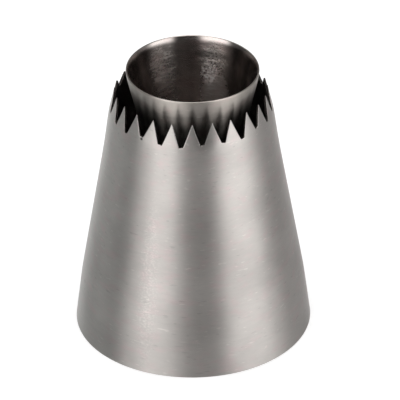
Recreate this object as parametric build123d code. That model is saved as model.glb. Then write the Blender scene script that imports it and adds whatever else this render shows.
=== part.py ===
from build123d import *
import os
from math import cos, radians, sin, sqrt

# Crown ring nozzle for piping, in millimetres.
# It stands on its wide end: the origin is the centre of the base ring and +Z points to the teeth.
# A tooth faces -Y.

# Outer shell, outside sizes
base_radius = 25.0
kink_radius = 23.6
kink_height = 11.0
crown_radius = 15.9
crown_height = 56.1
shell_wall = 0.5

# Teeth cut into the small end of the shell
tooth_count = 24
tooth_height = 4.8
tooth_tip_width = 0.25
tooth_root_width = 0.6
first_tooth_angle = -89.6

# Inner cone, wide rim up; the throat gap is the ring slot at the height of the tooth tips
throat_gap = 2.45
rim_stand = 4.0
cone_end_height = 20.0
cone_end_radius = 5.3
cone_wall = 0.5
cone_off_centre = 0.4

# Dished cap in the lower end of the cone
cap_wall = 0.6
cap_skirt = 1.5
cap_depth = 1.8

# Upright strips that carry the cone
bridge_count = 3
first_bridge_angle = 90.0
bridge_thickness = 1.0
bridge_height = 8.0
bridge_lift = 2.0
bridge_edge_radius = 0.3

# Weld beads along both sides of each strip end
weld_radius = 0.8
weld_end_gap = 0.5

# Distance that a cutting shape runs past what it cuts
overrun = 1.0


# Worked out from the sizes above
half_pitch = radians(360 / tooth_count / 2)
root_height = crown_height - tooth_height
rim_height = crown_height + rim_stand
shell_slope = (kink_radius - crown_radius) / (crown_height - kink_height)
band_slope = (base_radius - kink_radius) / kink_height
shell_wall_across = shell_wall * sqrt(1 + shell_slope**2)
throat_radius = crown_radius - shell_wall_across - throat_gap
cone_slope = (throat_radius - cone_end_radius) / (crown_height - cone_end_height)
cone_wall_across = cone_wall * sqrt(1 + cone_slope**2)
bridge_bottom = cone_end_height + bridge_lift
bead_bottom = bridge_bottom + weld_end_gap + weld_radius
bead_top = bridge_bottom + bridge_height - weld_end_gap - weld_radius


def shell_inside(height):
    """Inside radius of the shell; below the kink the band is a little steeper."""
    outside = crown_radius + shell_slope * (crown_height - height)
    if height < kink_height:
        outside = kink_radius + band_slope * (kink_height - height)
    return outside - shell_wall_across


def cone_outside(height):
    """Outside radius of the inner cone."""
    return cone_end_radius + cone_slope * (height - cone_end_height)


def cone_inside(height):
    """Inside radius of the inner cone."""
    return cone_outside(height) - cone_wall_across


def turned(*lines):
    """Solid turned about Z from a closed outline of radius and height."""
    return revolve(Plane.XZ * make_face(lines), Axis.Z)


def on_cone_axis(shape):
    """Shape drawn about Z, moved to the cone's own axis."""
    return Pos(cone_off_centre, 0, 0) * shape


def shell_cavity():
    """Space inside the shell, which trims the strips and the beads."""
    return turned(Polyline(
        (0, 0),
        (shell_inside(0), 0),
        (shell_inside(kink_height), kink_height),
        (shell_inside(crown_height), crown_height),
        (0, crown_height),
        close=True,
    ))


def cone_core():
    """The inner cone with its inside filled, which trims the strips and the beads."""
    return on_cone_axis(turned(Polyline(
        (0, cone_end_height),
        (cone_end_radius, cone_end_height),
        (cone_outside(rim_height), rim_height),
        (0, rim_height),
        close=True,
    )))


# Outer shell
def tooth_notch(angle):
    """Cut between two teeth, pushed straight out through the wall."""
    half_root = tooth_root_width / 2
    half_mouth = crown_radius * sin(half_pitch) - tooth_tip_width / 2
    outline = Polyline(
        (-half_root, root_height),
        (half_root, root_height),
        (half_mouth, crown_height),
        (half_mouth, crown_height + overrun),
        (-half_mouth, crown_height + overrun),
        (-half_mouth, crown_height),
        close=True,
    )
    across = Vector(-sin(angle), cos(angle), 0)
    outward = Vector(cos(angle), sin(angle), 0)
    behind_wall = shell_inside(crown_height) - overrun
    return extrude(Plane(outward * behind_wall, across, outward) * make_face(outline), base_radius)


def outer_shell():
    wall = turned(Polyline(
        (base_radius, 0),
        (kink_radius, kink_height),
        (crown_radius, crown_height),
        (shell_inside(crown_height), crown_height),
        (shell_inside(kink_height), kink_height),
        (shell_inside(0), 0),
        close=True,
    ))
    first = radians(first_tooth_angle) + half_pitch
    return wall - [tooth_notch(first + 2 * half_pitch * place) for place in range(tooth_count)]


# Inner cone, its end cap and the weld around the cap
def inner_cone():
    return on_cone_axis(turned(Polyline(
        (cone_outside(cone_end_height), cone_end_height),
        (cone_outside(rim_height), rim_height),
        (cone_inside(rim_height), rim_height),
        (cone_inside(cone_end_height), cone_end_height),
        close=True,
    )))


def dish_arc(edge, bulge_radius):
    """Half of the cap's dish, from its edge down to the axis, about a centre on the axis."""
    lip = cone_inside(cone_end_height)
    centre = cone_end_height - cap_depth + (lip**2 + cap_depth**2) / (2 * cap_depth)

    def place(reach):
        return reach, centre - sqrt(bulge_radius**2 - reach**2)

    return ThreePointArc(place(edge), place(edge / 2), place(0))


def cone_end_cap():
    lip = cone_inside(cone_end_height)
    bulge_radius = (lip**2 + cap_depth**2) / (2 * cap_depth)
    skirt_top = cone_end_height + cap_skirt
    skin = dish_arc(lip, bulge_radius)
    lining = dish_arc(lip - cap_wall, bulge_radius - cap_wall)
    rest = Polyline(
        lining @ 0,
        (lip - cap_wall, skirt_top),
        (cone_inside(skirt_top), skirt_top),
        skin @ 0,
    )
    return on_cone_axis(turned(skin, Line(skin @ 1, lining @ 1), lining, rest))


def cap_weld(cap, core):
    corner = Pos(cone_inside(cone_end_height), cone_end_height)
    ring = revolve(Plane.XZ * corner * Circle(cone_wall_across), Axis.Z)
    return on_cone_axis(ring) - core - cap


# Strips between the cone and the shell
def bridge(angle, cavity, core):
    blank = Box(base_radius, bridge_thickness, bridge_height, align=(Align.MIN, Align.CENTER, Align.MIN))
    blank = fillet(blank.edges().filter_by(Axis.X), bridge_edge_radius)
    strip = Pos(cone_off_centre, 0, bridge_bottom) * Rot(0, 0, angle) * blank
    return (strip & cavity) - core


# Weld beads at the strip ends
def corner_point(angle, side, height, wall_radius, wall_centre):
    """Where one side face of a strip meets a round wall."""
    turn = radians(angle)
    half = side * bridge_thickness / 2
    away = cone_off_centre - wall_centre
    aside = half - away * sin(turn)
    reach = sqrt(wall_radius**2 - aside**2) - away * cos(turn)
    return Vector(
        cone_off_centre + reach * cos(turn) - half * sin(turn),
        reach * sin(turn) + half * cos(turn),
        height,
    )


def side_space(angle, side):
    """Space beside a strip, on one side of it."""
    near_face = Align.MIN if side > 0 else Align.MAX
    slab = Box(base_radius, 2 * weld_radius, bridge_height, align=(Align.MIN, near_face, Align.MIN))
    beside = Pos(0, side * bridge_thickness / 2, bridge_bottom)
    return on_cone_axis(Rot(0, 0, angle) * beside * slab)


def weld_bead(angle, side, radius_at, wall_centre, cavity, core):
    """Bead in the corner between a strip's side face and the wall it stands on.
    The round ends have their poles halfway between strip and wall, clear of both."""
    start = corner_point(angle, side, bead_bottom, radius_at(bead_bottom), wall_centre)
    end = corner_point(angle, side, bead_top, radius_at(bead_top), wall_centre)
    run = (end - start).length
    between = Vector(1, 0, 0).rotate(Axis.Z, angle + side * 45)
    ball = Rot(0, 90, 0) * Sphere(weld_radius)
    rod = Cylinder(weld_radius, run, align=(Align.CENTER, Align.CENTER, Align.MIN))
    rod = rod + ball + Pos(0, 0, run) * ball
    placed = Plane(origin=start, x_dir=between, z_dir=end - start) * rod
    return (placed & side_space(angle, side) & cavity) - core


def weld_group(radius_at, wall_centre, cavity, core):
    beads = []
    for angle in bridge_angles():
        for side in (-1, 1):
            bead = weld_bead(angle, side, radius_at, wall_centre, cavity, core)
            beads.append(bead.solid())
    return Compound(beads)


def bridge_angles():
    return [first_bridge_angle + 360 / bridge_count * place for place in range(bridge_count)]


def build():
    """Every piece by its node name."""
    cavity = shell_cavity()
    core = cone_core()
    cap = cone_end_cap()
    pieces = {
        "outer_shell": outer_shell(),
        "inner_cone": inner_cone(),
        "cone_end_cap": cap,
        "cap_weld": cap_weld(cap, core),
        "shell_welds": weld_group(shell_inside, 0, cavity, core),
        "cone_welds": weld_group(cone_outside, cone_off_centre, cavity, core),
    }
    for number, angle in enumerate(bridge_angles(), start=1):
        pieces[f"bridge_{number}"] = bridge(angle, cavity, core)
    return pieces


os.makedirs("parts", exist_ok=True)
for name, piece in build().items():
    piece.label = name
    export_step(piece, f"parts/{name}.step")
    print(f"{name}: {len(piece.solids())} solids, {piece.volume:.1f} cubic mm")
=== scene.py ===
import random
from collections import Counter
from math import atan2, cos, exp, hypot, pi, radians, sin, sqrt, tan

import bpy
from mathutils import Matrix, Vector


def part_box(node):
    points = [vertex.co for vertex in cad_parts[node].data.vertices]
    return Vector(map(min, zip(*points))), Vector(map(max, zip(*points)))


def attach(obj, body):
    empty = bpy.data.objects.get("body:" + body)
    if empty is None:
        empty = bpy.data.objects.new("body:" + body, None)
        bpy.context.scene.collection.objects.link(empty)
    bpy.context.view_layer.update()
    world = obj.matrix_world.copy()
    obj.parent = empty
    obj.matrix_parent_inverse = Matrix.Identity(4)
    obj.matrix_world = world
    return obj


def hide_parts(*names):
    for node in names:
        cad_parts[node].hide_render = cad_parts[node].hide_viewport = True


# Crown ring nozzle for piping, in metres and radians, standing on its wide end with +Z towards the teeth.
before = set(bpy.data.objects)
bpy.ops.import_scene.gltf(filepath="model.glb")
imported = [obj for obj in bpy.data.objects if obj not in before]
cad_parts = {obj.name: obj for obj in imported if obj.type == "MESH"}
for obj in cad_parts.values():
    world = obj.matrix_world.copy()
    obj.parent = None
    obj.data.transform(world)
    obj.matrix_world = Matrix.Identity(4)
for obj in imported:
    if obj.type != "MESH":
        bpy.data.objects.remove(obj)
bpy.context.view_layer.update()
dice = random.Random(2836953)

mm = 0.001

# Rounding of every cut edge, and how far from the edge the skins' own rings begin
edge_round = 0.06 * mm
edge_margin = 3 * edge_round

# How closely the frame is read: what counts as one place, and the digits of heights and angles
same_place = 0.01 * mm
height_digits = 6
angle_digits = 4


# Sizes read from the frame
def about_axis(name, axis_x):
    """Radius, angle and height of every corner of a CAD node about an upright axis."""
    places = []
    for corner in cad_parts[name].data.vertices:
        x, y, z = corner.co
        places.append((hypot(x - axis_x, y), atan2(y, x - axis_x), z))
    return places


def edge_levels(places):
    """The heights of a turned node's edges, lowest first; only there are its corners packed closely."""
    counts = Counter(round(height, height_digits) for _, _, height in places)
    busiest = max(counts.values())
    return sorted(height for height, count in counts.items() if count > busiest / 2)


def radii_at(places, level):
    """Smallest and largest radius of a node's corners at one height."""
    found = [radius for radius, _, height in places if abs(height - level) < same_place]
    return min(found), max(found)


shell_places = about_axis("outer_shell", 0)
base_height, kink_height, root_height, crown_height = edge_levels(shell_places)
base_inside, base_radius = radii_at(shell_places, base_height)
_, kink_radius = radii_at(shell_places, kink_height)
_, crown_radius = radii_at(shell_places, crown_height)
shell_across = base_radius - base_inside
band_slope = (base_radius - kink_radius) / (kink_height - base_height)
shell_slope = (kink_radius - crown_radius) / (crown_height - kink_height)

# The teeth, found from the outer corners of their tips; the wide gaps between those are the notches
tip_angles = sorted({
    round(angle, angle_digits) for radius, angle, height in shell_places
    if abs(height - crown_height) < same_place and crown_radius - radius < same_place
})
next_angles = tip_angles[1:] + tip_angles[:1]
tip_gaps = [(after - before) % (2 * pi) for before, after in zip(tip_angles, next_angles)]
tooth_count = sum(gap > max(tip_gaps) / 2 for gap in tip_gaps)
pitch = 2 * pi / tooth_count
first_tooth = atan2(
    sum(sin(angle * tooth_count) for angle in tip_angles),
    sum(cos(angle * tooth_count) for angle in tip_angles),
) / tooth_count

cone_low, cone_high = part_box("inner_cone")
cone_axis_x = (cone_low.x + cone_high.x) / 2
cone_places = about_axis("inner_cone", cone_axis_x)
cone_end_height, rim_height = cone_low.z, cone_high.z
_, cone_end_radius = radii_at(cone_places, cone_end_height)
rim_inside, rim_radius = radii_at(cone_places, rim_height)
cone_across = rim_radius - rim_inside
cone_slope = (rim_radius - cone_end_radius) / (rim_height - cone_end_height)

# The first strip points straight back, so its width along X is its thickness
strip_names = sorted(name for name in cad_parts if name.startswith("bridge_"))
strip_low, strip_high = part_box(strip_names[0])
strip_half = (strip_high.x - strip_low.x) / 2


# Mesh helpers
def spread(low, high, steps):
    """Evenly spaced values from low to high, both included."""
    return [low + (high - low) * step / steps for step in range(steps + 1)]


def smooth(value, start, full):
    """0 at start, 1 at full, eased between."""
    share = min(1, max(0, (value - start) / (full - start)))
    return share * share * (3 - 2 * share)


def band_faces(count, low, high, start=0):
    """Quads between two rings of count corners, by the rings' numbers; the first ring begins at start."""
    faces = []
    for place in range(count):
        after = (place + 1) % count
        faces.append((
            start + low * count + place, start + low * count + after,
            start + high * count + after, start + high * count + place,
        ))
    return faces


def new_piece(name, corners, faces):
    """Smooth mesh object of these corners and faces."""
    mesh = bpy.data.meshes.new(name)
    mesh.from_pydata(corners, [], faces)
    mesh.validate()
    mesh.shade_smooth()
    piece = bpy.data.objects.new(name, mesh)
    bpy.context.scene.collection.objects.link(piece)
    return piece


def ring_mesh(name, rings):
    """Closed mesh of quads between rings of points, the last of which joins the first."""
    corners = [point for ring in rings for point in ring]
    faces = []
    for low in range(len(rings)):
        faces += band_faces(len(rings[0]), low, (low + 1) % len(rings))
    return new_piece(name, corners, faces)


def tube_mesh(name, tubes):
    """Mesh of closed tubes, each a list of rings of points with a face over its first and last ring."""
    corners = []
    faces = []
    for rings in tubes:
        start = len(corners)
        count = len(rings[0])
        last = start + (len(rings) - 1) * count
        corners += [point for ring in rings for point in ring]
        for low in range(len(rings) - 1):
            faces += band_faces(count, low, low + 1, start)
        faces.append(tuple(start + place for place in reversed(range(count))))
        faces.append(tuple(last + place for place in range(count)))
    return new_piece(name, corners, faces)


def edge_profile(across):
    """(depth, set back) pairs that carry a rounded cut edge from one skin to the other."""
    corner = (1 - sqrt(0.5)) * edge_round
    near = [(0, edge_margin), (0, edge_round), (corner, corner), (edge_round, 0)]
    far = [(across - depth, back) for depth, back in reversed(near)]
    return near + far


# Outer shell: its teeth, as cut and finished by hand
tip_half_width = 0.05 * mm
root_half_width = 0.4 * mm
tooth_wobble = 0.06 * mm
tip_drop = 0.3 * mm
root_wobble = 0.5 * mm
root_slant = 0.1 * mm
slant_waves = 7
root_lean = 0.5 * mm
lean_waves = 5
lean_middle = radians(-87)
root_turn_out = 0.022
turn_out_middle = radians(-72)
back_tip_drop = 0.8 * mm
back_root_rise = 1.25 * mm
back_start = 0.05
back_full = 0.25
thinned_height = 2.2 * mm
thinning_power = 1.5
tip_wall_share = 0.35

# Its wall, with its slow unevenness as waves (around, per metre up, start)
kink_softness = 0.02 * mm
dent_depth = 0.02 * mm
dent_waves = [(2, 0, 1.3), (3, 90, 0.4), (5, -140, 2.1)]
swell = 0.23 * mm
swell_height = root_height - 1.3 * mm
swell_reach_up = 2.6 * mm
swell_reach_down = 5.5 * mm

# Its mesh
body_steps = 44
tooth_steps = 9
side_steps = 7
tooth_split = root_height - 2 * mm
least_mitre = 0.3
hair = 0.001 * mm / crown_radius


def swell_at(height):
    """How far the shell swells just below the notches, above which the teeth lean in a little."""
    above = height - swell_height
    reach = swell_reach_up if above > 0 else swell_reach_down
    return swell * exp(-((above / reach) ** 2))


def shell_outside(height):
    """Outside radius of the shell with the kink softened."""
    band = base_radius - band_slope * (height - base_height)
    taper = crown_radius + shell_slope * (crown_height - height)
    half = (band - taper) / 2
    return (band + taper) / 2 - sqrt(half**2 + kink_softness**2) + swell_at(height)


def shell_inside(height):
    """Inside radius of the shell below its teeth."""
    return shell_outside(height) - shell_across


def shell_dent(angle, height):
    """Slow unevenness of hand polished sheet, always inwards."""
    wave = sum(sin(turns * angle + rise * height + start) for turns, rise, start in dent_waves)
    return dent_depth * (wave / len(dent_waves) - 1) / 2


def wall_share(height):
    """Share of the full wall left at a height; the teeth are worn thinner towards their tips."""
    near_tip = max(0, 1 - (crown_height - height) / thinned_height)
    return 1 - (1 - tip_wall_share) * near_tip**thinning_power


def shell_point(angle, height, depth):
    """Point of the shell at a depth below its outside, where the wall isn't worn."""
    radius = shell_outside(height) + shell_dent(angle, height) - depth * wall_share(height)
    return radius * cos(angle), radius * sin(angle), height


def towards_back(angle):
    """0 on the front half of the crown and at its sides, 1 on the back."""
    return smooth(sin(angle), back_start, back_full)


def lean_at(angle):
    """Slow rise and fall of the notch bottoms over the front quarter of the crown and the back quarter."""
    turn = angle - lean_middle
    return root_lean * max(0, cos(2 * turn)) * sin(lean_waves * turn)


def turn_out(angle):
    """Turn of the front notch bottoms away from one place near the front."""
    return root_turn_out * sin(angle - turn_out_middle) * max(0, -sin(angle))


def crown_corners():
    """(angle, height) of every tooth tip and of the notch bottom after it. The back teeth are shorter."""
    tips = []
    roots = []
    for place in range(tooth_count):
        angle = first_tooth + place * pitch
        turn = dice.uniform(-1, 1) * tooth_wobble / crown_radius
        height = crown_height - dice.random() * tip_drop - towards_back(angle) * back_tip_drop
        tips.append((angle + turn, height))
        angle += pitch / 2
        turn = dice.uniform(-1, 1) * tooth_wobble / crown_radius
        height = root_height + dice.uniform(-1, 1) * root_wobble + lean_at(angle)
        height += towards_back(angle) * back_root_rise
        roots.append((angle + turn + turn_out(angle), height))
    return tips, roots


def between(start, end):
    """Points along one straight side of a tooth."""
    angles = spread(start[0], end[0], side_steps)
    heights = spread(start[1], end[1], side_steps)
    return list(zip(angles, heights))


def crown_outline():
    """(angle, height) points along the cut edge, once around, tooth by tooth."""
    tips, roots = crown_corners()
    tip_turn = tip_half_width / crown_radius
    root_turn = root_half_width / crown_radius
    outline = []
    for place in range(tooth_count):
        tip_angle, tip_height = tips[place]
        root_angle, root_level = roots[place]
        next_angle, next_height = tips[(place + 1) % tooth_count]
        if place == tooth_count - 1:
            next_angle += 2 * pi
        slant = root_slant * sin(slant_waves * root_angle)
        down = [(tip_angle + tip_turn, tip_height), (root_angle - root_turn, root_level - slant)]
        up = [(root_angle + root_turn, root_level + slant), (next_angle - tip_turn, next_height)]
        outline += [tips[place], *between(*down), roots[place], *between(*up)]
    return outline


def set_back(outline, distance):
    """The cut edge moved into the metal by a distance, with mitred corners."""
    moved = []
    count = len(outline)
    for place, (angle, height) in enumerate(outline):
        before_angle, before_height = outline[place - 1]
        after_angle, after_height = outline[(place + 1) % count]
        if place == 0:
            before_angle -= 2 * pi
        if place == count - 1:
            after_angle += 2 * pi
        into = Vector(((angle - before_angle) * crown_radius, height - before_height)).normalized()
        out = Vector(((after_angle - angle) * crown_radius, after_height - height)).normalized()
        mitre = (into + out).normalized()
        inward = Vector((mitre.y, -mitre.x))
        reach = distance / max(least_mitre, into.dot(mitre))
        moved.append((angle + inward.x * reach / crown_radius, height + inward.y * reach))
    for tip in range(0, count, count // tooth_count):
        mend_tip(moved, tip)
    return moved


def mend_tip(moved, tip):
    """Where the two sides of a tooth have crossed above its tip, the tip drops to where they meet, with
    its neighbours a hair beside it."""
    left_turn = 2 * pi if tip == 0 else 0
    left_angle = moved[tip - 1][0] - left_turn
    if left_angle < moved[tip + 1][0]:
        return
    middle = moved[tip][0]
    heights = []
    for near, far, turn in ((tip - 1, tip - 2, left_turn), (tip + 1, tip + 2, 0)):
        near_angle, near_height = moved[near]
        far_angle, far_height = moved[far]
        share = (middle + turn - near_angle) / (far_angle - near_angle)
        heights.append(near_height + share * (far_height - near_height))
    level = sum(heights) / 2
    moved[tip - 1] = (middle + left_turn - hair, level)
    moved[tip] = (middle, level)
    moved[tip + 1] = (middle + hair, level)


def shell_rings():
    """Rings of points up the outside, over the cut edge, down the inside and under the foot. With them come
    the numbers of the bands of faces that are cut metal, and of those that are inside."""
    outline = crown_outline()
    columns = [angle for angle, _ in outline]
    inner_edge = set_back(outline, edge_margin)
    body_rows = spread(base_height + edge_margin, tooth_split, body_steps)
    tooth_shares = spread(0, 1, tooth_steps)[1:-1]

    def skin(depth):
        rows = [[shell_point(angle, height, depth) for angle in columns] for height in body_rows]
        for share in tooth_shares:
            row = []
            for angle, (edge_angle, edge_height) in zip(columns, inner_edge):
                height = tooth_split + share * (edge_height - tooth_split)
                row.append(shell_point(angle + share * (edge_angle - angle), height, depth))
            rows.append(row)
        return rows

    cut = []
    for depth, back in edge_profile(shell_across):
        cut.append([shell_point(angle, height, depth) for angle, height in set_back(outline, back)])
    foot = []
    for depth, back in reversed(edge_profile(shell_across)[1:-1]):
        foot.append([shell_point(angle, base_height + back, depth) for angle in columns])
    outside = skin(0)
    inside = skin(shell_across)[::-1]
    rings = outside + cut + inside + foot
    cut_band = len(outside) + len(cut) // 2 - 1
    foot_band = len(rings) - len(foot) // 2 - 1
    return rings, (cut_band, foot_band), range(cut_band + 1, foot_band)


# Inner cone: its rim, and the swelling of its outside below the rim
flare_across = 0.16 * mm
flare_down = 1.5 * mm
flare_power = 2.5
facet_high = 0.12 * mm
facet_soft = 0.03 * mm
facet_turn = radians(24)
rim_spread = 0.1 * mm
rim_oval = 0.42 * mm
oval_turn = radians(15)
rim_shift = 0.03 * mm
rim_power = 3
bulge = 0.1 * mm
bulge_down = 2.4 * mm
bulge_end = 8 * mm
cone_dent_start = 0.7

# Its mesh
cone_columns = 240
cone_outside_steps = 40
cone_inside_steps = 60
rim_arc_steps = 12
lip_steps = 14
outer_rim_rings = 12
skin_below_rim = 0.4 * mm
skin_below_flare = 0.3 * mm


def cone_outside(height):
    """Outside radius of the plain cone."""
    return cone_end_radius + cone_slope * (height - cone_end_height)


def bulge_at(height):
    """How far the outside of the cone swells below the rim, where the sheet was drawn upright."""
    down = rim_height - height
    rise = sin(min(1, down / bulge_down) * pi / 2)
    return bulge * rise * (1 - smooth(down, bulge_down, bulge_end))


def cone_point(angle, height, depth):
    """Point of the cone at a depth below its outside, with its dents, bulge and uneven rim."""
    radius = cone_outside(height) - depth
    radius -= dent_depth * (1 + sin(2 * angle + cone_dent_start)) / 2
    radius += bulge_at(height) * (1 - depth / cone_across)
    near_rim = ((height - cone_end_height) / (rim_height - cone_end_height)) ** rim_power
    radius += near_rim * (rim_spread + rim_oval * max(0, sin(angle - oval_turn)) ** 2)
    return cone_axis_x - near_rim * rim_shift + radius * cos(angle), radius * sin(angle), height


def rim_profile():
    """(depth, set back) pairs over the rim, from the outside: a narrow facet, a round top, then a lip
    that flares a little."""
    facet_in = facet_high * tan(facet_turn)
    top = (cone_across - flare_across - facet_in) / 2
    facet = [(0, facet_high + facet_soft), (facet_in * facet_soft / facet_high, facet_high - facet_soft)]
    profile = [(depth, top + back) for depth, back in facet]
    for turn in spread(facet_turn, pi, rim_arc_steps):
        profile.append((facet_in + top * (1 - cos(turn)), top * (1 - sin(turn))))
    for share in spread(0, 1, lip_steps)[1:]:
        depth = cone_across - flare_across * (1 - share) ** flare_power
        profile.append((depth, top + share * (flare_down - top)))
    return profile


def cone_rings():
    """Rings of points up the outside, over the rim, down the inside and under the lower end, and the
    numbers of the bands of faces that are inside."""
    columns = spread(0, 2 * pi, cone_columns)[:-1]
    foot = cone_end_height + edge_margin
    outside_top = rim_height - skin_below_rim
    inside_top = rim_height - flare_down - skin_below_flare

    def ring(height, depth):
        return [cone_point(angle, height, depth) for angle in columns]

    outside = [ring(height, 0) for height in spread(foot, outside_top, cone_outside_steps)]
    rim = [ring(rim_height - back, depth) for depth, back in rim_profile()]
    inside = [ring(height, cone_across) for height in spread(foot, inside_top, cone_inside_steps)]
    cut = []
    for depth, back in reversed(edge_profile(cone_across)[1:-1]):
        cut.append(ring(cone_end_height + back, depth))
    rings = outside + rim + inside[::-1] + cut
    return rings, range(len(outside) + outer_rim_rings, len(rings) - len(cut) - 1)


# Weld beads
bead_radius = 0.8 * mm
bead_root = 0.15 * mm
bead_sides = 12
bead_steps = 56
bead_turns = (-0.15 * pi, 0.65 * pi)
bead_tip = 0.02 * bead_radius
cap_bead_steps = 360
ripple_pitch = 0.55 * mm
ripple_share = 0.07


def ripple(run):
    """Radius factor along a bead: one scallop for each ripple, pulled in where two ripples meet."""
    return 1 - ripple_share * (1 - abs(sin(pi * run / ripple_pitch)))


def bead_rings(start, end, off_wall, off_strip):
    """Rings of a rippled bead in a corner. Its face bulges between the wall and the strip, its round
    ends reach one radius past the two ends of the corner line, and its root sinks into both."""
    along = (end - start).normalized()
    length = (end - start).length + 2 * bead_radius
    rings = []
    for run in spread(bead_tip, length - bead_tip, bead_steps):
        from_end = min(run, length - run)
        round_end = sqrt(max(0, 1 - max(0, 1 - from_end / bead_radius) ** 2))
        reach = bead_radius * round_end * ripple(run)
        corner = start + along * (run - bead_radius)
        ring = []
        for turn in spread(*bead_turns, bead_sides):
            ring.append(tuple(corner + (off_strip * cos(turn) + off_wall * sin(turn)) * reach))
        ring.append(tuple(corner - (off_strip + off_wall) * bead_root * round_end))
        rings.append(ring)
    return rings


def corner_point(angle, side, height, wall_radius, wall_x):
    """Where one side face of a strip meets a round wall; the strip runs out from the cone's axis at angle."""
    away = cone_axis_x - wall_x
    half = side * strip_half
    reach = sqrt(wall_radius**2 - (half - away * sin(angle)) ** 2) - away * cos(angle)
    return Vector((
        cone_axis_x + reach * cos(angle) - half * sin(angle),
        reach * sin(angle) + half * cos(angle),
        height,
    ))


def strip_angle(name):
    """Direction of a strip from the cone's axis."""
    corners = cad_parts[name].data.vertices
    middle = sum((corner.co for corner in corners), Vector()) / len(corners)
    return atan2(middle.y, middle.x - cone_axis_x)


def strip_beads(weld_node, wall_radius_at, wall_x, outward):
    """The six beads of one weld node, on both sides of every strip. They lie along a wall that faces
    outward, 1, or inward, -1."""
    low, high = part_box(weld_node)
    tubes = []
    for strip in strip_names:
        angle = strip_angle(strip)
        for side in (-1, 1):
            ends = []
            for height in (low.z + bead_radius, high.z - bead_radius):
                ends.append(corner_point(angle, side, height, wall_radius_at(height), wall_x))
            off_strip = Vector((-side * sin(angle), side * cos(angle), 0))
            off_wall = Vector((outward * cos(angle), outward * sin(angle), 0))
            rings = bead_rings(*ends, off_wall, off_strip)
            tubes.append(rings if side * outward > 0 else [ring[::-1] for ring in rings])
    return tubes


def cap_bead_rings():
    """The bead round the cap, one ring of points for each step along it."""
    middle = cone_end_radius - cone_across
    rings = []
    for angle in spread(0, 2 * pi, cap_bead_steps)[:-1]:
        reach = cone_across * ripple(angle * middle)
        ring = []
        for turn in spread(0, 2 * pi, bead_sides)[:-1]:
            radius = middle + reach * cos(turn)
            height = cone_end_height + reach * sin(turn)
            ring.append((cone_axis_x + radius * cos(angle), radius * sin(angle), height))
        rings.append(ring)
    return rings


# Shader helpers
def feed(tree, value, socket):
    """Links another socket to this one, or sets its value."""
    if isinstance(value, bpy.types.NodeSocket):
        tree.links.new(value, socket)
    else:
        socket.default_value = value


def add_node(tree, kind, **inputs):
    """New shader node with the given socket values or links."""
    made = tree.nodes.new(kind)
    for name, value in inputs.items():
        feed(tree, value, made.inputs[name.replace("_", " ")])
    return made


def compute(tree, operation, *values):
    """Result of a Math node."""
    made = tree.nodes.new("ShaderNodeMath")
    made.operation = operation
    for socket, value in zip(made.inputs, values):
        feed(tree, value, socket)
    return made.outputs[0]


def blend(tree, share, first, second):
    """Colour mixed from first to second. Sockets of a Mix node share their names, so these go by number."""
    made = tree.nodes.new("ShaderNodeMix")
    made.data_type = "RGBA"
    for number, value in ((0, share), (6, first), (7, second)):
        feed(tree, value, made.inputs[number])
    return made.outputs[2]


def eased(tree, value, start, full):
    """0 where the value is start, 1 where it is full, eased between."""
    made = add_node(tree, "ShaderNodeMapRange", Value=value)
    made.interpolation_type = "SMOOTHSTEP"
    made.inputs["From Min"].default_value = start
    made.inputs["From Max"].default_value = full
    return made.outputs[0]


def graded(tree, value, start, full, start_shade, full_shade):
    """One shade where the value is start and another where it is full, eased between."""
    share = eased(tree, value, start, full)
    return compute(tree, "MULTIPLY_ADD", share, full_shade - start_shade, start_shade)


def noise(tree, at, scale=1.0, detail=3.0, roughness=0.5):
    """Soft noise between 0 and 1."""
    made = add_node(tree, "ShaderNodeTexNoise", Vector=at, Scale=scale, Detail=detail, Roughness=roughness)
    return made.outputs["Fac"]


def shade(tint, factor=1.0):
    """Opaque colour: a tint times a factor."""
    return tuple(factor * part for part in tint) + (1,)


class Turned:
    """Shader coordinates of a piece turned about an upright axis, whose patterns have their true length
    at its usual radius."""

    def __init__(self, tree, axis_x, usual_radius):
        self.tree = tree
        self.usual_radius = usual_radius
        self.place = tree.nodes.new("ShaderNodeTexCoord").outputs["Object"]
        x, self.y, self.z = add_node(tree, "ShaderNodeSeparateXYZ", Vector=self.place).outputs
        self.x = compute(tree, "SUBTRACT", x, axis_x)
        squares = compute(tree, "MULTIPLY", self.y, self.y)
        self.radius = compute(tree, "SQRT", compute(tree, "MULTIPLY_ADD", self.x, self.x, squares))

    def stretched(self, length, width):
        """Texture space in which one unit is a length along the brushing and a width across it."""
        along = self.usual_radius / length
        return add_node(
            self.tree, "ShaderNodeCombineXYZ",
            X=compute(self.tree, "MULTIPLY", compute(self.tree, "DIVIDE", self.x, self.radius), along),
            Y=compute(self.tree, "MULTIPLY", compute(self.tree, "DIVIDE", self.y, self.radius), along),
            Z=compute(self.tree, "MULTIPLY", self.z, 1 / width),
        ).outputs[0]

    def angle(self):
        return compute(self.tree, "ARCTAN2", self.y, self.x)


# Brushed steel. Patterns have a length along the brushing and a width across it.
line_size = (2.6 * mm, 0.7 * mm)
streak_size = (6 * mm, 1.6 * mm)
nick_size = (2.2 * mm, 0.5 * mm)
rosy_size = (4 * mm, 1.8 * mm)
speck_size = (0.55 * mm, 0.32 * mm)
rub_size = (3 * mm, 0.4 * mm)
cloud_scale = 80
grainy = {"detail": 2.0, "roughness": 0.6}

# A change starts at one value of its pattern and is full at the next; then come the shades at both.
cloud_change = (0.3, 0.7, 0.92, 1.08)
line_change = (0.3, 0.7, 1.0, 1.04)
streak_change = (0.45, 0.25, 1.0, 0.96)
light_nick_change = (0.66, 0.8, 1.0, 1.19)
dark_nick_change = (0.33, 0.2, 1.0, 0.87)
rosy_range = (0.45, 0.75)
speck_range = (0.4, 0.75)
rub_range = (0.45, 0.75)
bare_range = (0.4, 1.3)
oval_fade = (1.0, 0.1)

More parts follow.
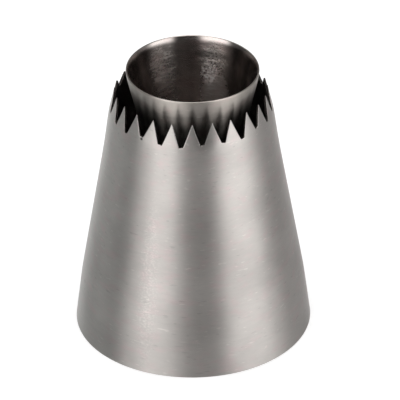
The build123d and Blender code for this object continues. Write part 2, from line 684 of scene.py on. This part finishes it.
line_depth = 0.003 * mm
line_roughness = 0.12
worn_roughness = 0.18
worn_height = -0.15
gloss_turn = 0.25
rosy_cast = (1.045, 0.97, 0.99)
bare_cast = (0.98, 0.95, 0.92)
lightest_metal = 0.95


def steel(name):
    """New metal material: its tree and its shader."""
    material = bpy.data.materials.new(name)
    material.use_nodes = True
    tree = material.node_tree
    shader = tree.nodes["Principled BSDF"]
    shader.inputs["Metallic"].default_value = 1.0
    return material, tree, shader


def brush_round(tree, shader, anisotropy):
    """Gloss drawn out across brushing that runs around the axis."""
    shader.inputs["Anisotropic"].default_value = anisotropy
    shader.inputs["Anisotropic Rotation"].default_value = gloss_turn
    tangent = tree.nodes.new("ShaderNodeTangent")
    tangent.direction_type = "RADIAL"
    tangent.axis = "Z"
    tree.links.new(tangent.outputs[0], shader.inputs["Tangent"])


def within(tree, at, angle, half_angle, level, half_level):
    """1 in the middle of an oval place on a turned piece, fading to 0 at its border."""
    aside = compute(tree, "MULTIPLY", compute(tree, "SUBTRACT", at.angle(), angle), 1 / half_angle)
    above = compute(tree, "MULTIPLY", compute(tree, "SUBTRACT", at.z, level), 1 / half_level)
    squares = compute(tree, "MULTIPLY_ADD", aside, aside, compute(tree, "MULTIPLY", above, above))
    return eased(tree, squares, *oval_fade)


def scuffed(tree, at, place, haze, rubbed, speckled):
    """How far an oval place is scuffed, from a haze, rubbed streaks and specks of these strengths."""
    specks = noise(tree, at.stretched(*speck_size), **grainy)
    rubs = noise(tree, at.stretched(*rub_size), **grainy)
    wear_and_glint = compute(tree, "MULTIPLY_ADD", eased(tree, specks, *speck_range), speckled, haze)
    wear_and_glint = compute(tree, "MULTIPLY_ADD", eased(tree, rubs, *rub_range), rubbed, wear_and_glint)
    return compute(tree, "MULTIPLY", within(tree, at, *place), wear_and_glint)


def metal_colour(tree, tint, warmth, bare, factor):
    """A tint, rosy in places and greyer where the metal is rubbed bare, times a factor."""
    rosy = [part * cast for part, cast in zip(tint, rosy_cast)]
    tone = blend(tree, eased(tree, warmth, *rosy_range), shade(tint), shade(rosy))
    if bare:
        tone = blend(tree, eased(tree, bare, *bare_range), tone, shade(bare_cast, max(tint)))
    scaled = tree.nodes.new("ShaderNodeVectorMath")
    scaled.operation = "SCALE"
    feed(tree, tone, scaled.inputs["Vector"])
    feed(tree, compute(tree, "MINIMUM", factor, lightest_metal / max(tint)), scaled.inputs["Scale"])
    return scaled.outputs[0]


def brushed_steel(name, tint, roughness, anisotropy, axis_x, radius, painted_light, scuffs=(), marks=()):
    """Sheet brushed around its axis: fine lines, longer streaks, light and dark nicks and slow clouds.
    Painted light is two heights and the painted shades at both. A scuff is an oval place, then the strengths
    of its haze, rubbed streaks and specks. A mark is an oval place, then its change of shade and its depth."""
    material, tree, shader = steel(name)
    at = Turned(tree, axis_x, radius)
    lines = noise(tree, at.stretched(*line_size), **grainy)
    streaks = noise(tree, at.stretched(*streak_size), **grainy)
    nicks = noise(tree, at.stretched(*nick_size), detail=1.0)
    clouds = noise(tree, at.place, scale=cloud_scale, detail=2.0)
    warmth = noise(tree, at.stretched(*rosy_size))

    # Painted shade or light up the piece, by height
    factor = graded(tree, at.z, *painted_light)
    for pattern, change in (
        (clouds, cloud_change), (lines, line_change), (streaks, streak_change),
        (nicks, light_nick_change), (nicks, dark_nick_change),
    ):
        factor = compute(tree, "MULTIPLY", factor, graded(tree, pattern, *change))
    rough = compute(tree, "MULTIPLY_ADD", lines, line_roughness, roughness - line_roughness / 2)
    height = lines

    bare = None
    for *place, haze, rubbed, speckled in scuffs:
        wear_and_glint = scuffed(tree, at, place, haze, rubbed, speckled)
        bare = compute(tree, "MAXIMUM", bare, wear_and_glint) if bare else wear_and_glint
        # Scuffs lighten the colour: painted glints, besides the real wear in roughness and bump
        factor = compute(tree, "MULTIPLY", factor, compute(tree, "ADD", wear_and_glint, 1.0))
        rough = compute(tree, "MULTIPLY_ADD", wear_and_glint, worn_roughness, rough)
        height = compute(tree, "MULTIPLY_ADD", wear_and_glint, worn_height, height)
    # Marks lighten or darken the colour; most of them are painted light or shade
    for *place, change, depth in marks:
        marked = within(tree, at, *place)
        factor = compute(tree, "MULTIPLY", factor, compute(tree, "MULTIPLY_ADD", marked, change, 1.0))
        height = compute(tree, "MULTIPLY_ADD", marked, -depth / line_depth, height)

    tree.links.new(metal_colour(tree, tint, warmth, bare, factor), shader.inputs["Base Color"])
    tree.links.new(rough, shader.inputs["Roughness"])
    brush_round(tree, shader, anisotropy)
    bump = add_node(tree, "ShaderNodeBump", Strength=1.0, Distance=line_depth, Height=height)
    tree.links.new(bump.outputs[0], shader.inputs["Normal"])
    return material


# Plain steel: noise scales of its grain, clouds and stains, and the shades of the clouds
plain_grain_scale = 4000
plain_cloud_scale = 350
plain_stain_scale = 700
plain_cloud_shades = (0.85, 1.08)
plain_stain_range = (0.45, 0.7)
plain_roughness = 0.16


def plain_steel(name, tint, roughness, grain_depth, stain=None):
    """Pressed or rolled metal with a fine grain and soft stains."""
    material, tree, shader = steel(name)
    place = tree.nodes.new("ShaderNodeTexCoord").outputs["Object"]
    grain = noise(tree, place, scale=plain_grain_scale, roughness=0.7)
    clouds = noise(tree, place, scale=plain_cloud_scale)
    tone = blend(tree, clouds, *(shade(tint, factor) for factor in plain_cloud_shades))
    if stain:
        stains = eased(tree, noise(tree, place, scale=plain_stain_scale), *plain_stain_range)
        tone = blend(tree, stains, tone, shade(stain))
    rough = compute(tree, "MULTIPLY_ADD", grain, plain_roughness, roughness - plain_roughness / 2)
    tree.links.new(tone, shader.inputs["Base Color"])
    tree.links.new(rough, shader.inputs["Roughness"])
    bump = add_node(tree, "ShaderNodeBump", Strength=1.0, Distance=grain_depth, Height=grain)
    tree.links.new(bump.outputs[0], shader.inputs["Normal"])
    return material


def spot(middle, half, level, half_level, *strengths):
    """An oval place on a turned piece, from its middle and half width in degrees and its height and half
    height, with the strengths of what is there."""
    return radians(middle), radians(half), level, half_level, *strengths


# Steel of the outer shell
shell_tint = (0.68, 0.645, 0.615)
# The inside of the shell is the same steel, darker: painted shade
inner_painted_shade = 0.45
shell_inner_shaded_tint = [inner_painted_shade * part for part in shell_tint]
# Painted shade towards the foot and painted light towards the crown
shell_painted_shade = (base_height, crown_height, 0.95, 1.06)
# Specks in the brightest band; their lighter colour is painted glint
shell_specks_and_glints = spot(-115, 7, 20 * mm, 24 * mm, -0.03, 0.0, 0.2)
# Painted shade over the front teeth, where they mirror a darker band
front_teeth_painted_shade = spot(-80, 12.5, crown_height - 1 * mm, 6 * mm, -0.35, 0)
punch_mark = (
    radians(-127.6), 0.38 * mm / crown_radius, root_height + 0.05 * mm, 0.33 * mm, -0.85, 0.012 * mm,
)
shell_steel = brushed_steel(
    "shell_steel", shell_tint, roughness=0.36, anisotropy=0.75, axis_x=0, radius=kink_radius,
    painted_light=shell_painted_shade, scuffs=[shell_specks_and_glints], marks=[punch_mark, front_teeth_painted_shade],
)
shell_inner_shaded_steel = brushed_steel(
    "shell_inner_shaded_steel", shell_inner_shaded_tint, roughness=0.36, anisotropy=0.6, axis_x=0, radius=kink_radius,
    painted_light=shell_painted_shade,
)

# Steel of the cone's outside
cone_tint = (0.672, 0.619, 0.567)
# Painted shade deeper down the outside, into the gap under the rim
cone_painted_shade = (rim_height - 8 * mm, rim_height - 3 * mm, 0.3, 1.0)
# Painted light at the front deep in the gap, and painted shade at both sides
cone_painted_spots = [
    spot(-90, 55, rim_height - 9 * mm, 5 * mm, 0.8, 0),
    spot(-148, 32, rim_height - 5.5 * mm, 4 * mm, -0.4, 0),
    spot(-32, 32, rim_height - 5.5 * mm, 4 * mm, -0.35, 0),
]
cone_steel = brushed_steel(
    "cone_steel", cone_tint, roughness=0.32, anisotropy=0.93, axis_x=cone_axis_x, radius=rim_radius,
    painted_light=cone_painted_shade, marks=cone_painted_spots,
)

# Steel of the cone's inside: scuffs, painted shade at both sides, and lighter and darker rings at the back
# Darker than the cone's outside: painted shade
inside_shaded_tint = (0.386, 0.35, 0.33)
# Painted highlight along the lip, up to the rim
lip_painted_highlight = (rim_height - 1.15 * mm, rim_height - 0.3 * mm, 0.9, 1.75)
# Scuffs, real in roughness and bump; their lighter colour is painted glint
inside_scuffs_and_glints = [
    spot(122, 20, rim_height - 5.1 * mm, 6.0 * mm, 0.05, 0.45, 0.35),
    spot(69, 18, rim_height - 4.6 * mm, 6.0 * mm, 0.05, 0.4, 0.3),
    spot(67, 13, rim_height - 5.1 * mm, 2.6 * mm, 0.0, 0.2, 0.6),
    spot(73, 11, rim_height - 7.6 * mm, 2.8 * mm, 0.2, 0.3, 1.5),
    spot(64, 22, rim_height - 12.6 * mm, 6.5 * mm, 0.6, 0.4, 0.15),
    spot(123, 24, rim_height - 11.6 * mm, 7.0 * mm, 0.25, 0.2, 0.0),
]
inside_shade_and_rings = [
    spot(168, 46, rim_height - 1.5 * mm, 4.0 * mm, -0.58, 0),
    spot(22, 42, rim_height - 1.5 * mm, 4.0 * mm, -0.6, 0),
    spot(70, 20, rim_height - 2.3 * mm, 1.1 * mm, 0.3, 0),
    spot(70, 24, rim_height - 3.7 * mm, 0.9 * mm, -0.4, 0),
    spot(70, 17, rim_height - 4.7 * mm, 0.6 * mm, 0.4, 0),
    spot(70, 18, rim_height - 5.4 * mm, 0.45 * mm, -0.25, 0),
]
cone_inner_shaded_steel = brushed_steel(
    "cone_inside", inside_shaded_tint, roughness=0.22, anisotropy=0.6, axis_x=cone_axis_x, radius=rim_radius,
    painted_light=lip_painted_highlight, scuffs=inside_scuffs_and_glints, marks=inside_shade_and_rings,
)

# Cut edges, cap, strips and weld metal
# The cut faces are near black: painted shade
shaded_cut_steel = plain_steel("shaded_cut_steel", (0.06, 0.055, 0.05), roughness=0.42, grain_depth=0.004 * mm)
cap_steel = plain_steel("cap_steel", (0.6, 0.575, 0.55), roughness=0.34, grain_depth=0.002 * mm)
strip_steel = plain_steel("strip_steel", (0.6, 0.58, 0.56), roughness=0.4, grain_depth=0.003 * mm)
weld_metal = plain_steel(
    "weld_metal", (0.56, 0.53, 0.49), roughness=0.3, grain_depth=0.002 * mm, stain=(0.55, 0.43, 0.28),
)


# Pieces
def dress(piece, slot, nodes, *materials):
    """Gives a piece its materials and its body, and hides the CAD nodes that it stands for. Its slot is not
    used.
    """
    piece.data.materials.clear()
    for material in materials:
        piece.data.materials.append(material)
    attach(piece, "root")
    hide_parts(*nodes)


def paint(piece, columns, bands, index):
    """Gives the faces of these bands the material with this index. A band is the faces between one ring
    and the next, and has the first one's number."""
    for band in bands:
        for place in range(band * columns, (band + 1) * columns):
            piece.data.polygons[place].material_index = index


def make_shell():
    rings, cut_bands, inside_bands = shell_rings()
    shell = ring_mesh("toothed_shell", rings)
    dress(shell, "shell_steel", ["outer_shell"], shell_steel, shell_inner_shaded_steel, shaded_cut_steel)
    paint(shell, len(rings[0]), inside_bands, 1)
    paint(shell, len(rings[0]), cut_bands, 2)


def make_cone():
    rings, inside_bands = cone_rings()
    cone = ring_mesh("ring_cone", rings)
    dress(cone, "cone_steel", ["inner_cone"], cone_steel, cone_inner_shaded_steel)
    paint(cone, cone_columns, inside_bands, 1)


def make_beads():
    cap_bead = ring_mesh("cap_weld_bead", cap_bead_rings())
    dress(cap_bead, "weld_metal", ["cap_weld"], weld_metal)
    shell_beads = tube_mesh("shell_weld_beads", strip_beads("shell_welds", shell_inside, 0, -1))
    dress(shell_beads, "weld_metal", ["shell_welds"], weld_metal)
    cone_beads = tube_mesh("cone_weld_beads", strip_beads("cone_welds", cone_outside, cone_axis_x, 1))
    dress(cone_beads, "weld_metal", ["cone_welds"], weld_metal)


def paint_kept_nodes():
    """Materials of the CAD nodes that stay: the cap and the strips."""
    kept_nodes = {"cone_end_cap": cap_steel} | {name: strip_steel for name in strip_names}
    for name, material in kept_nodes.items():
        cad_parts[name].data.materials.clear()
        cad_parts[name].data.materials.append(material)


make_shell()
make_cone()
make_beads()
paint_kept_nodes()

# Stage. Metal mirrors the floor inside the nozzle, but not from the middle of its wall outwards.
floor_radius = 2.0
floor_sides = 96
floor_white = (0.8, 0.8, 0.8)
floor_lift = 0.4
foot_radius = base_radius - shell_across / 2
neutral = (1.0, 1.0, 1.0)


def floor_piece(name, outer_radius, inner_radius, material, mirrored):
    """Flat ring of floor, or a disc when the inner radius is 0."""
    radii = (outer_radius, inner_radius) if inner_radius else (outer_radius,)
    turns = spread(0, 2 * pi, floor_sides)[:-1]
    corners = [(radius * cos(turn), radius * sin(turn), 0) for radius in radii for turn in turns]
    faces = band_faces(floor_sides, 0, 1) if inner_radius else [tuple(range(floor_sides))]
    floor = new_piece(name, corners, faces)
    floor.data.materials.append(material)
    floor.visible_glossy = mirrored


def pale(name, lift):
    """Matt white, lifted towards full white for what looks at it directly, in a mirror or through glass."""
    material = bpy.data.materials.new(name)
    material.use_nodes = True
    tree = material.node_tree
    tree.nodes.clear()
    path = tree.nodes.new("ShaderNodeLightPath").outputs
    looks = compute(tree, "ADD", path["Is Camera Ray"], path["Is Glossy Ray"])
    looks = compute(tree, "ADD", looks, path["Is Transmission Ray"])
    strength = compute(tree, "MULTIPLY", looks, lift)
    matt = add_node(tree, "ShaderNodeBsdfDiffuse", Color=shade(floor_white))
    glow = add_node(tree, "ShaderNodeEmission", Color=shade(neutral), Strength=strength)
    both = tree.nodes.new("ShaderNodeAddShader")
    tree.links.new(matt.outputs[0], both.inputs[0])
    tree.links.new(glow.outputs[0], both.inputs[1])
    out = tree.nodes.new("ShaderNodeOutputMaterial")
    tree.links.new(both.outputs[0], out.inputs["Surface"])
    return material


floor_piece("floor", floor_radius, foot_radius, pale("pale_floor", floor_lift), False)
floor_piece("floor_under_nozzle", foot_radius, 0, pale("shaded_floor", 0.0), True)

# Light levels by direction, as (degrees round from the camera's side towards +X, level). The tables are
# for directions around the object at its own height, well below it, above it, and higher still.
flags_low = [
    (-180, 0.9), (-171, 0.83), (-124, 0.325), (-104, 0.32), (-88, 0.245), (-79, 0.25), (-60, 0.53),
    (-45, 1.0), (-40, 0.95), (1, 0.28), (17, 0.265), (51, 0.95), (64, 0.95), (111, 0.31), (140, 0.34),
    (178, 0.92), (180, 0.9),
]
floor_ahead = [
    (-180, 0.7), (-166, 0.7), (-124, 0.5), (-94, 0.52), (-69, 0.84), (-26, 0.86), (0, 0.42),
    (30, 0.36), (66, 0.64), (117, 0.6), (157, 0.7), (180, 0.7),
]
panels_above = [
    (-180, 0.05), (-150, 0.05), (-105, 0.13), (-73, 0.12), (-63, 1.7), (-25, 1.7), (-10, 0.03),
    (26, 0.03), (40, 1.7), (68, 1.7), (85, 0.3), (105, 0.3), (131, 0.18), (163, 0.08), (180, 0.05),
]
room_overhead = [
    (-180, 0.2), (-130, 0.35), (-80, 0.2), (-66, 0.4), (-24, 0.4), (-10, 0.08), (20, 0.05), (36, 0.3),
    (66, 0.3), (84, 0.06), (125, 0.12), (165, 0.2), (180, 0.2),
]
top_light = 2.0

# Where one table gives way to another, and the last to the top light, as heights on a ball of directions
# of radius 1
floor_border = (-0.5, -0.8)
panel_border = (0.02, 0.12)
room_border = (0.38, 0.5)
top_border = (0.86, 0.92)

# The far left of the studio is a little cooler, apart from the stop at -180, where the ring closes
cool_below = -70
cool = (0.965, 1.0, 1.0)


def ring_of_light(tree, share, table):
    """Light around the horizon, from a share of the way round and a table of levels."""
    ring = tree.nodes.new("ShaderNodeValToRGB")
    tree.links.new(share, ring.inputs[0])
    ring.color_ramp.interpolation = "EASE"
    stops = ring.color_ramp.elements
    while len(stops) < len(table):
        stops.new(0.5)
    for stop, (angle, level) in zip(stops, table):
        stop.position = (angle + 180) / 360
        stop.color = shade(cool if -180 < angle < cool_below else neutral, level)
    return ring.outputs[0]


def make_world():
    """White all round. Metal mirrors a photographer's dark flags in front of that white, two soft panels
    above them, a dim room overhead and a small top light. The world isn't sampled as a lamp is, because
    metal would then catch the plain white as well."""
    world = bpy.data.worlds.new("studio")
    bpy.context.scene.world = world
    world.use_nodes = True
    world.cycles.sampling_method = "NONE"
    tree = world.node_tree
    tree.nodes.clear()
    way = tree.nodes.new("ShaderNodeTexCoord").outputs["Generated"]
    x, y, z = add_node(tree, "ShaderNodeSeparateXYZ", Vector=way).outputs
    azimuth = compute(tree, "ARCTAN2", x, compute(tree, "MULTIPLY", y, -1.0))
    share = compute(tree, "MULTIPLY_ADD", azimuth, 0.5 / pi, 0.5)
    seen = ring_of_light(tree, share, flags_low)
    for border, table in (
        (floor_border, floor_ahead), (panel_border, panels_above), (room_border, room_overhead),
    ):
        seen = blend(tree, eased(tree, z, *border), seen, ring_of_light(tree, share, table))
    seen = blend(tree, eased(tree, z, *top_border), seen, shade(neutral, top_light))
    path = tree.nodes.new("ShaderNodeLightPath").outputs
    shown = blend(tree, path["Is Glossy Ray"], shade(neutral), seen)
    background = add_node(tree, "ShaderNodeBackground", Color=shown, Strength=1.0)
    out = tree.nodes.new("ShaderNodeOutputWorld")
    tree.links.new(background.outputs[0], out.inputs["Surface"])


make_world()

# Camera, at the photograph's viewing angle; turns in radians
view_distance = 36 * base_radius
view_elevation = 0.5512
view_roll = -0.0108
focal_pixels = 4286
frame_pixels = 400
aim_height = 1.3 * base_radius
aim_right_pixels = 7.8
aim_down_pixels = -17.48
nearest_shown = 0.01
furthest_shown = 20


def make_camera():
    right = Vector((1, 0, 0))
    ahead = Vector((0, cos(view_elevation), -sin(view_elevation)))
    place = Vector((0, 0, aim_height)) - ahead * view_distance
    pan = aim_right_pixels / focal_pixels
    tilt = aim_down_pixels / focal_pixels
    ahead, right = ahead * cos(pan) + right * sin(pan), right * cos(pan) - ahead * sin(pan)
    up = right.cross(ahead)
    ahead, up = ahead * cos(tilt) + up * sin(tilt), up * cos(tilt) - ahead * sin(tilt)
    right, up = right * cos(view_roll) + up * sin(view_roll), up * cos(view_roll) - right * sin(view_roll)
    data = bpy.data.cameras.new("camera")
    data.lens = focal_pixels / frame_pixels * data.sensor_width
    data.clip_start = nearest_shown
    data.clip_end = furthest_shown
    camera = bpy.data.objects.new("camera", data)
    turned = Matrix((right, up, -ahead)).transposed().to_4x4()
    camera.matrix_world = Matrix.Translation(place) @ turned
    bpy.context.scene.collection.objects.link(camera)
    bpy.context.scene.camera = camera


make_camera()
bpy.context.scene.view_settings.view_transform = "Standard"
